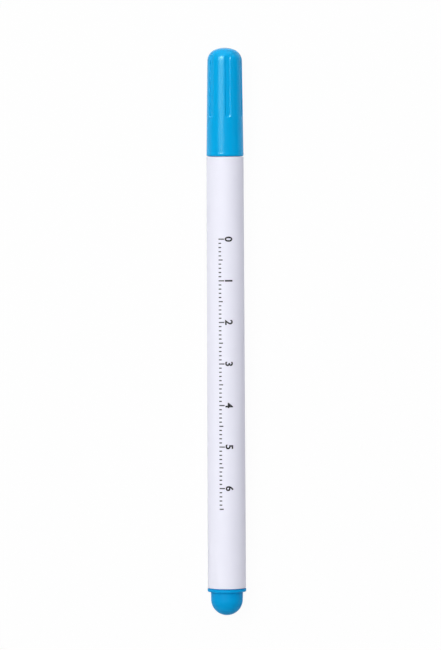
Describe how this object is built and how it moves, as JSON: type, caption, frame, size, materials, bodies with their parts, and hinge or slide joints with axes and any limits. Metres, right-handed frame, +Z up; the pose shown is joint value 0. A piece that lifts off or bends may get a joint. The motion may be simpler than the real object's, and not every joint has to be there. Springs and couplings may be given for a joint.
{
  "type": "water-erasable fabric marking pen",
  "caption": "Slim capped fibre-tip marking pen for fabric: fluted pull-off cap with inner seal, white barrel, domed end plug, nib and ink reservoir inside.",
  "frame": {"origin": "on the table surface, under the middle of the pen's length, the pen lying on its side", "axes": "+Y along the pen from its end plug to its cap, +Z up from the table, +X across"},
  "size_m": [0.0094, 0.137, 0.0093],
  "materials": {
    "cap_blue": "glossy injection-moulded polypropylene, sky blue",
    "plug_blue": "semi-gloss injection-moulded polypropylene, sky blue",
    "barrel_white": "satin moulded polypropylene, cool white",
    "section_white": "satin moulded polypropylene, cool white",
    "liner_natural": "soft natural polyethylene, milky",
    "nib_fibre": "bonded fibre soaked in water-erasable blue ink",
    "ink_core": "fibre bundle soaked in blue ink",
    "film_wrap": "thin clear film",
    "print_black": "black screen-printed ink, a centimetre scale with plain numbers"
  },
  "bodies": {
    "pen_body": {"barrel": "barrel_white", "front_section": "section_white", "nib": "nib_fibre", "reservoir_core": "ink_core", "reservoir_wrap": "film_wrap", "end_plug": "plug_blue"},
    "cap": {"cap_shell": "cap_blue", "cap_liner": "liner_natural"}
  },
  "joints": [
    {"name": "cap_pull", "type": "slide", "parent": "pen_body", "child": "cap", "axis": [0, 1, 0], "range_m": [0, 0.035]}
  ]
}
